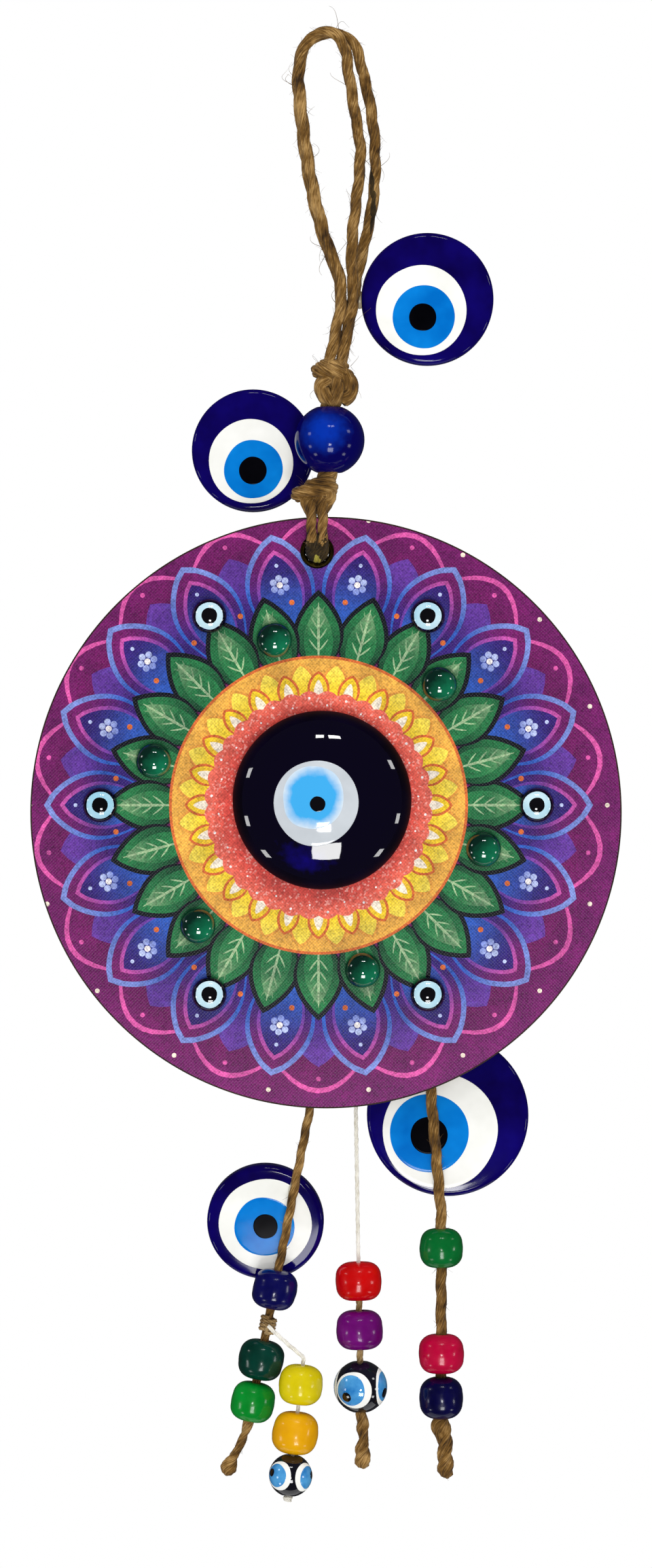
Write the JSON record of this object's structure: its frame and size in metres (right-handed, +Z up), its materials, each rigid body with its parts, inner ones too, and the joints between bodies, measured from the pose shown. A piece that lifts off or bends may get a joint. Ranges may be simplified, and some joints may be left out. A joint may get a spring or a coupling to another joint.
{
  "type": "evil eye wall hanging",
  "caption": "Wall hanging of a printed round wooden disc with domed glass eyes and stones, hung on a knotted jute loop with a glass bead, with flat glass eyes and beaded strands.",
  "frame": {"origin": "where a hook bears inside the top of the hanging loop", "axes": "+Z up along the hanging cord, front towards -Y, +X to the right seen from the front"},
  "size_m": [0.15, 0.0254, 0.3741],
  "materials": {
    "jute": "matte twisted fibre",
    "string": "matte twisted thread",
    "blue_glass": "polished",
    "cobalt_glass": "polished, with poured white, blue and black rings",
    "night_glass": "polished, with white, blue and black spots",
    "green_glass": "polished",
    "eye_bead_glass": "polished, with white and blue spots",
    "printed_wood": "satin printed front, dark cut edge",
    "brass": "antique",
    "glue": "cloudy",
    "blue_bead": "gloss",
    "dark_green_bead": "gloss",
    "green_bead": "gloss",
    "yellow_bead": "gloss",
    "orange_bead": "gloss",
    "red_bead": "gloss",
    "purple_bead": "gloss",
    "emerald_bead": "gloss",
    "pink_bead": "gloss",
    "navy_bead": "gloss"
  },
  "bodies": {
    "hanging_cord": {"hanging_loop_front": "jute", "hanging_loop_back": "jute", "upper_knot": "jute", "nazar_top_right": "cobalt_glass", "glue_top_right": "glue"},
    "top_bead": {"top_bead": "blue_glass"},
    "disc_cord": {"lower_knot": "jute", "disc_loop_left": "jute", "disc_loop_right": "jute", "nazar_top_left": "cobalt_glass", "glue_top_left": "glue"},
    "disc": {"mandala_disc": "printed_wood", "eyelet": "brass", "center_eye": "night_glass", "eye_stone_1": "night_glass", "eye_stone_2": "night_glass", "eye_stone_3": "night_glass", "eye_stone_4": "night_glass", "eye_stone_5": "night_glass", "eye_stone_6": "night_glass", "green_stone_1": "green_glass", "green_stone_2": "green_glass", "green_stone_3": "green_glass", "green_stone_4": "green_glass", "green_stone_5": "green_glass", "green_stone_6": "green_glass", "nazar_lower_right": "cobalt_glass", "glue_lower_right": "glue", "strand_root_1": "jute", "strand_glue_1": "glue", "strand_root_3": "string", "strand_glue_3": "glue", "strand_root_4": "jute", "strand_glue_4": "glue"},
    "strand_1": {"strand_cord_1": "jute", "tail_1": "jute", "nazar_lower_left": "cobalt_glass", "glue_lower_left": "glue", "branch_tie": "string"},
    "strand_2": {"strand_cord_2": "string", "tail_2": "jute"},
    "strand_3": {"strand_cord_3": "string", "tail_3": "jute"},
    "strand_4": {"strand_cord_4": "jute", "tail_4": "jute"},
    "bead_1_blue": {"bead_1_blue": "blue_bead"},
    "bead_1_dark_green": {"bead_1_dark_green": "dark_green_bead"},
    "bead_1_green": {"bead_1_green": "green_bead"},
    "bead_2_yellow": {"bead_2_yellow": "yellow_bead"},
    "bead_2_orange": {"bead_2_orange": "orange_bead"},
    "bead_2_eye": {"bead_2_eye": "eye_bead_glass"},
    "bead_3_red": {"bead_3_red": "red_bead"},
    "bead_3_purple": {"bead_3_purple": "purple_bead"},
    "bead_3_eye": {"bead_3_eye": "eye_bead_glass"},
    "bead_4_green": {"bead_4_green": "emerald_bead"},
    "bead_4_pink": {"bead_4_pink": "pink_bead"},
    "bead_4_navy": {"bead_4_navy": "navy_bead"}
  },
  "joints": [
    {"name": "top_bead_spin", "type": "hinge", "parent": "hanging_cord", "child": "top_bead", "pos_m": [0.0009, 0, -0.1017], "axis": [0, 0, 1], "continuous": true},
    {"name": "cord_twist", "type": "hinge", "parent": "hanging_cord", "child": "disc_cord", "pos_m": [0.0009, 0, -0.1017], "axis": [0, 0, 1], "range_deg": [-90, 90]},
    {"name": "disc_swing", "type": "hinge", "parent": "disc_cord", "child": "disc", "pos_m": [-0.00225, 0, -0.1301], "axis": [0, 1, 0], "range_deg": [-15, 15]},
    {"name": "strand_1_swing", "type": "hinge", "parent": "disc", "child": "strand_1", "pos_m": [-0.0043, 0.003, -0.27264], "axis": [-1, 0, 0], "range_deg": [-40, 60]},
    {"name": "strand_2_swing", "type": "hinge", "parent": "strand_1", "child": "strand_2", "pos_m": [-0.01479, -0.00045, -0.32643], "axis": [-1, 0, 0], "range_deg": [0, 50]},
    {"name": "strand_3_swing", "type": "hinge", "parent": "disc", "child": "strand_3", "pos_m": [0.0076, 0.00235, -0.27238], "axis": [-1, 0, 0], "range_deg": [-40, 60]},
    {"name": "strand_4_swing", "type": "hinge", "parent": "disc", "child": "strand_4", "pos_m": [0.0267, 0.0033, -0.26785], "axis": [-1, 0, 0], "range_deg": [0, 60]},
    {"name": "bead_1_blue_spin", "type": "hinge", "parent": "strand_1", "child": "bead_1_blue", "pos_m": [-0.0043, 0.003, -0.27264], "axis": [0.1914, 0, 0.9815], "continuous": true},
    {"name": "bead_1_dark_green_spin", "type": "hinge", "parent": "strand_1", "child": "bead_1_dark_green", "pos_m": [-0.0043, 0.003, -0.27264], "axis": [0.1914, 0, 0.9815], "continuous": true},
    {"name": "bead_1_green_spin", "type": "hinge", "parent": "strand_1", "child": "bead_1_green", "pos_m": [-0.0043, 0.003, -0.27264], "axis": [0.1914, 0, 0.9815], "continuous": true},
    {"name": "bead_2_yellow_spin", "type": "hinge", "parent": "strand_2", "child": "bead_2_yellow", "pos_m": [-0.00569, -0.001, -0.33463], "axis": [0.1123, 0, 0.9937], "continuous": true},
    {"name": "bead_2_orange_spin", "type": "hinge", "parent": "strand_2", "child": "bead_2_orange", "pos_m": [-0.00569, -0.001, -0.33463], "axis": [0.1123, 0, 0.9937], "continuous": true},
    {"name": "bead_2_eye_spin", "type": "hinge", "parent": "strand_2", "child": "bead_2_eye", "pos_m": [-0.00569, -0.001, -0.33463], "axis": [0.1123, 0, 0.9937], "continuous": true},
    {"name": "bead_3_red_spin", "type": "hinge", "parent": "strand_3", "child": "bead_3_red", "pos_m": [0.0076, 0.00235, -0.27238], "axis": [-0.0166, 0, 0.9999], "continuous": true},
    {"name": "bead_3_purple_spin", "type": "hinge", "parent": "strand_3", "child": "bead_3_purple", "pos_m": [0.0076, 0.00235, -0.27238], "axis": [-0.0166, 0, 0.9999], "continuous": true},
    {"name": "bead_3_eye_spin", "type": "hinge", "parent": "strand_3", "child": "bead_3_eye", "pos_m": [0.0076, 0.00235, -0.27238], "axis": [-0.0166, 0, 0.9999], "continuous": true},
    {"name": "bead_4_green_slide", "type": "slide", "parent": "strand_4", "child": "bead_4_green", "axis": [0, 0, -1], "range_m": [0, 0.016]},
    {"name": "bead_4_pink_spin", "type": "hinge", "parent": "strand_4", "child": "bead_4_pink", "pos_m": [0.0293, 0.0033, -0.29885], "axis": [0, 0, 1], "continuous": true},
    {"name": "bead_4_navy_spin", "type": "hinge", "parent": "strand_4", "child": "bead_4_navy", "pos_m": [0.0293, 0.0033, -0.29885], "axis": [0, 0, 1], "continuous": true}
  ]
}
